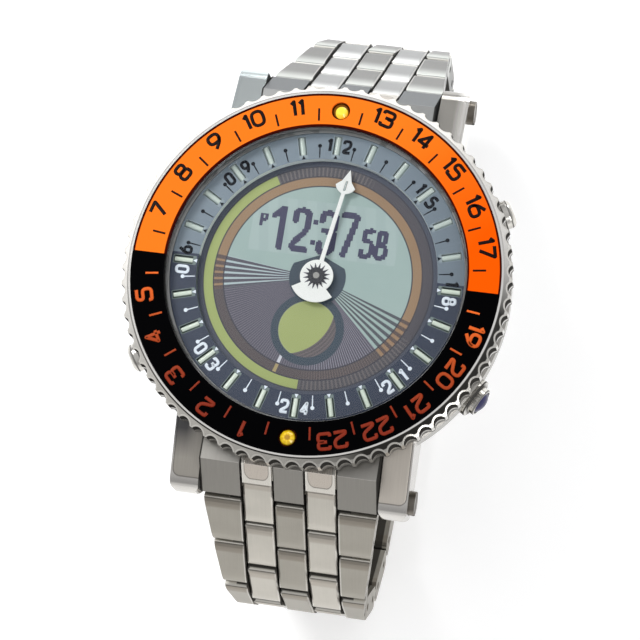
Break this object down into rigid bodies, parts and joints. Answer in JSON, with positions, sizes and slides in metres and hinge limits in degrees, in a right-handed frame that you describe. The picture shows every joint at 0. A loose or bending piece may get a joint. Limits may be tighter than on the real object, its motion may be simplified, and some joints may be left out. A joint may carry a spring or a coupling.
{
  "type": "world time wristwatch",
  "caption": "World time wristwatch with a scalloped 24-hour ring, a display under one 24-hour hand, four pushers and a five-column steel bracelet with a folding clasp.",
  "frame": {"origin": "foot of the dial axis on the clasp cover's flat outer face", "axes": "+Z along the dial axis, out through the crystal; +Y to 12 o'clock; +X to 3 o'clock"},
  "size_m": [0.048, 0.0777, 0.048],
  "materials": {
    "polished_steel": "polished",
    "brushed_steel": "brushed",
    "polished_link": "semi-polished",
    "black_rubber": "matte",
    "crystal": "polished",
    "dial_blue": "printed",
    "light_tube": "gloss",
    "display": "printed glass",
    "black_plastic": "matte",
    "board_green": "solder mask",
    "brass": "polished",
    "bezel_enamel": "enamel",
    "yellow_pip": "faceted",
    "white_hand": "satin",
    "blue_stone": "polished"
  },
  "bodies": {
    "case": {"case_middle": "polished_steel", "case_back": "brushed_steel", "case_back_gasket": "black_rubber", "crystal": "crystal", "crystal_gasket": "black_rubber", "dial_ring": "dial_blue", "light_tubes": "light_tube", "lcd_panel": "display", "module_holder": "black_plastic", "circuit_board": "board_green", "battery": "polished_steel", "battery_clamp": "brass", "motor_stator": "brass", "lug_bars": "polished_steel", "end_link_12": "brushed_steel", "end_link_6": "brushed_steel", "bezel_click_spring": "brushed_steel", "pusher_tubes": "polished_steel"},
    "bezel": {"bezel_ring": "polished_steel", "bezel_insert": "bezel_enamel", "bezel_pips": "yellow_pip"},
    "hand": {"day_hand": "white_hand", "hour_wheel": "brass"},
    "idler": {"idler_wheel": "brass"},
    "rotor": {"motor_rotor": "polished_steel"},
    "pusher_upper_right": {"pusher_upper_right": "polished_steel"},
    "pusher_lower_right": {"pusher_lower_right": "polished_steel", "cabochon": "blue_stone"},
    "pusher_upper_left": {"pusher_upper_left": "polished_steel"},
    "pusher_lower_left": {"pusher_lower_left": "polished_steel"},
    "link_12_01": {"link_12_01": "polished_link"},
    "link_12_02": {"link_12_02": "brushed_steel"},
    "link_12_03": {"link_12_03": "polished_link"},
    "link_12_04": {"link_12_04": "brushed_steel"},
    "link_12_05": {"link_12_05": "polished_link"},
    "link_12_06": {"link_12_06": "brushed_steel"},
    "link_12_07": {"link_12_07": "polished_link"},
    "link_12_08": {"link_12_08": "brushed_steel"},
    "link_12_09": {"link_12_09": "polished_link"},
    "link_12_10": {"link_12_10": "brushed_steel"},
    "link_12_11": {"link_12_11": "polished_link"},
    "link_12_12": {"link_12_12": "brushed_steel"},
    "link_6_01": {"link_6_01": "polished_link"},
    "link_6_02": {"link_6_02": "brushed_steel"},
    "link_6_03": {"link_6_03": "polished_link"},
    "link_6_04": {"link_6_04": "brushed_steel"},
    "link_6_05": {"link_6_05": "polished_link"},
    "link_6_06": {"link_6_06": "brushed_steel"},
    "link_6_07": {"link_6_07": "polished_link"},
    "link_6_08": {"link_6_08": "brushed_steel"},
    "link_6_09": {"link_6_09": "polished_link"},
    "link_6_10": {"link_6_10": "brushed_steel"},
    "link_6_11": {"link_6_11": "polished_link"},
    "link_6_12": {"link_6_12": "brushed_steel"},
    "end_blade": {"clasp_end_blade": "brushed_steel"},
    "middle_blade": {"clasp_middle_blade": "brushed_steel"},
    "cover": {"clasp_cover": "polished_steel"},
    "button_right": {"clasp_button_right": "polished_steel"},
    "button_left": {"clasp_button_left": "polished_steel"}
  },
  "joints": [
    {"name": "bezel_turn", "type": "hinge", "parent": "case", "child": "bezel", "pos_m": [0, 0, 0.04665], "axis": [0, 0, 1], "continuous": true},
    {"name": "hand_turn", "type": "hinge", "parent": "case", "child": "hand", "pos_m": [0, 0, 0.03965], "axis": [0, 0, 1], "continuous": true},
    {"name": "idler_turn", "type": "hinge", "parent": "case", "child": "idler", "pos_m": [-0.00693, -0.004, 0.03965], "axis": [0, 0, 1], "continuous": true},
    {"name": "rotor_turn", "type": "hinge", "parent": "case", "child": "rotor", "pos_m": [-0.0026, -0.0065, 0.03965], "axis": [0, 0, 1], "continuous": true},
    {"name": "pusher_upper_right_press", "type": "slide", "parent": "case", "child": "pusher_upper_right", "axis": [-0.8746, -0.4848, 0], "range_m": [0, 0.0008], "stiffness_N_per_m": 1500, "springref_m": -0.0008},
    {"name": "pusher_lower_right_press", "type": "slide", "parent": "case", "child": "pusher_lower_right", "axis": [-0.8746, 0.4848, 0], "range_m": [0, 0.0008], "stiffness_N_per_m": 1500, "springref_m": -0.0008},
    {"name": "pusher_upper_left_press", "type": "slide", "parent": "case", "child": "pusher_upper_left", "axis": [0.8746, -0.4848, 0], "range_m": [0, 0.0008], "stiffness_N_per_m": 1500, "springref_m": -0.0008},
    {"name": "pusher_lower_left_press", "type": "slide", "parent": "case", "child": "pusher_lower_left", "axis": [0.8746, 0.4848, 0], "range_m": [0, 0.0008], "stiffness_N_per_m": 1500, "springref_m": -0.0008},
    {"name": "hinge_12_01", "type": "hinge", "parent": "case", "child": "link_12_01", "pos_m": [0, 0.0251, 0.03905], "axis": [1, 0, 0], "range_deg": [0, 45]},
    {"name": "hinge_12_02", "type": "hinge", "parent": "link_12_01", "child": "link_12_02", "pos_m": [0, 0.02734, 0.03574], "axis": [1, 0, 0], "range_deg": [0, 8]},
    {"name": "hinge_12_03", "type": "hinge", "parent": "link_12_02", "child": "link_12_03", "pos_m": [0, 0.02957, 0.03242], "axis": [1, 0, 0], "range_deg": [0, 7]},
    {"name": "hinge_12_04", "type": "hinge", "parent": "link_12_03", "child": "link_12_04", "pos_m": [0, 0.03187, 0.02914], "axis": [1, 0, 0], "range_deg": [0, 8]},
    {"name": "hinge_12_05", "type": "hinge", "parent": "link_12_04", "child": "link_12_05", "pos_m": [0, 0.03416, 0.02587], "axis": [1, 0, 0], "range_deg": [0, 10]},
    {"name": "hinge_12_06", "type": "hinge", "parent": "link_12_05", "child": "link_12_06", "pos_m": [0, 0.03634, 0.02251], "axis": [1, 0, 0], "range_deg": [0, 16]},
    {"name": "hinge_12_07", "type": "hinge", "parent": "link_12_06", "child": "link_12_07", "pos_m": [0, 0.03803, 0.01889], "axis": [1, 0, 0], "range_deg": [0, 24]},
    {"name": "hinge_12_08", "type": "hinge", "parent": "link_12_07", "child": "link_12_08", "pos_m": [0, 0.03866, 0.01494], "axis": [1, 0, 0], "range_deg": [0, 26]},
    {"name": "hinge_12_09", "type": "hinge", "parent": "link_12_08", "child": "link_12_09", "pos_m": [0, 0.03803, 0.01099], "axis": [1, 0, 0], "range_deg": [0, 25]},
    {"name": "hinge_12_10", "type": "hinge", "parent": "link_12_09", "child": "link_12_10", "pos_m": [0, 0.03628, 0.00739], "axis": [1, 0, 0], "range_deg": [0, 25]},
    {"name": "hinge_12_11", "type": "hinge", "parent": "link_12_10", "child": "link_12_11", "pos_m": [0, 0.03355, 0.00447], "axis": [1, 0, 0], "range_deg": [0, 25]},
    {"name": "hinge_12_12", "type": "hinge", "parent": "link_12_11", "child": "link_12_12", "pos_m": [0, 0.03009, 0.00247], "axis": [1, 0, 0], "range_deg": [0, 31]},
    {"name": "hinge_6_01", "type": "hinge", "parent": "case", "child": "link_6_01", "pos_m": [0, -0.0251, 0.03905], "axis": [-1, 0, 0], "range_deg": [0, 45]},
    {"name": "hinge_6_02", "type": "hinge", "parent": "link_6_01", "child": "link_6_02", "pos_m": [0, -0.02734, 0.03574], "axis": [-1, 0, 0], "range_deg": [0, 9]},
    {"name": "hinge_6_03", "type": "hinge", "parent": "link_6_02", "child": "link_6_03", "pos_m": [0, -0.02952, 0.03238], "axis": [-1, 0, 0], "range_deg": [0, 9]},
    {"name": "hinge_6_04", "type": "hinge", "parent": "link_6_03", "child": "link_6_04", "pos_m": [0, -0.03164, 0.02899], "axis": [-1, 0, 0], "range_deg": [0, 9]},
    {"name": "hinge_6_05", "type": "hinge", "parent": "link_6_04", "child": "link_6_05", "pos_m": [0, -0.0337, 0.02556], "axis": [-1, 0, 0], "range_deg": [0, 18]},
    {"name": "hinge_6_06", "type": "hinge", "parent": "link_6_05", "child": "link_6_06", "pos_m": [0, -0.03513, 0.02183], "axis": [-1, 0, 0], "range_deg": [0, 21]},
    {"name": "hinge_6_07", "type": "hinge", "parent": "link_6_06", "child": "link_6_07", "pos_m": [0, -0.03569, 0.01787], "axis": [-1, 0, 0], "range_deg": [0, 23]},
    {"name": "hinge_6_08", "type": "hinge", "parent": "link_6_07", "child": "link_6_08", "pos_m": [0, -0.0352, 0.0139], "axis": [-1, 0, 0], "range_deg": [0, 23]},
    {"name": "hinge_6_09", "type": "hinge", "parent": "link_6_08", "child": "link_6_09", "pos_m": [0, -0.0337, 0.01019], "axis": [-1, 0, 0], "range_deg": [0, 23]},
    {"name": "hinge_6_10", "type": "hinge", "parent": "link_6_09", "child": "link_6_10", "pos_m": [0, -0.03129, 0.00699], "axis": [-1, 0, 0], "range_deg": [0, 23]},
    {"name": "hinge_6_11", "type": "hinge", "parent": "link_6_10", "child": "link_6_11", "pos_m": [0, -0.02814, 0.00453], "axis": [-1, 0, 0], "range_deg": [0, 23]},
    {"name": "hinge_6_12", "type": "hinge", "parent": "link_6_11", "child": "link_6_12", "pos_m": [0, -0.02446, 0.00297], "axis": [-1, 0, 0], "range_deg": [0, 17]},
    {"name": "clasp_turn", "type": "hinge", "parent": "link_6_12", "child": "end_blade", "pos_m": [0, -0.02058, 0.002], "axis": [-1, 0, 0], "range_deg": [0, 22]},
    {"name": "blade_fold", "type": "hinge", "parent": "end_blade", "child": "middle_blade", "pos_m": [0, 0.02152, 0.00245], "axis": [1, 0, 0], "range_deg": [0, 150]},
    {"name": "cover_fold", "type": "hinge", "parent": "middle_blade", "child": "cover", "pos_m": [0, -0.01638, 0.00165], "axis": [1, 0, 0], "range_deg": [-150, 0]},
    {"name": "button_right_press", "type": "slide", "parent": "cover", "child": "button_right", "axis": [-1, 0, 0], "range_m": [0, 0.0007], "stiffness_N_per_m": 1200, "springref_m": -0.0008},
    {"name": "button_left_press", "type": "slide", "parent": "cover", "child": "button_left", "axis": [1, 0, 0], "range_m": [0, 0.0007], "stiffness_N_per_m": 1200, "springref_m": -0.0008}
  ],
  "couplings": [
    {"joint": "idler_turn", "follows": "hand_turn", "ratio": -1},
    {"joint": "rotor_turn", "follows": "hand_turn", "ratio": 4},
    {"joint": "cover_fold", "follows": "blade_fold", "ratio": -1}
  ]
}
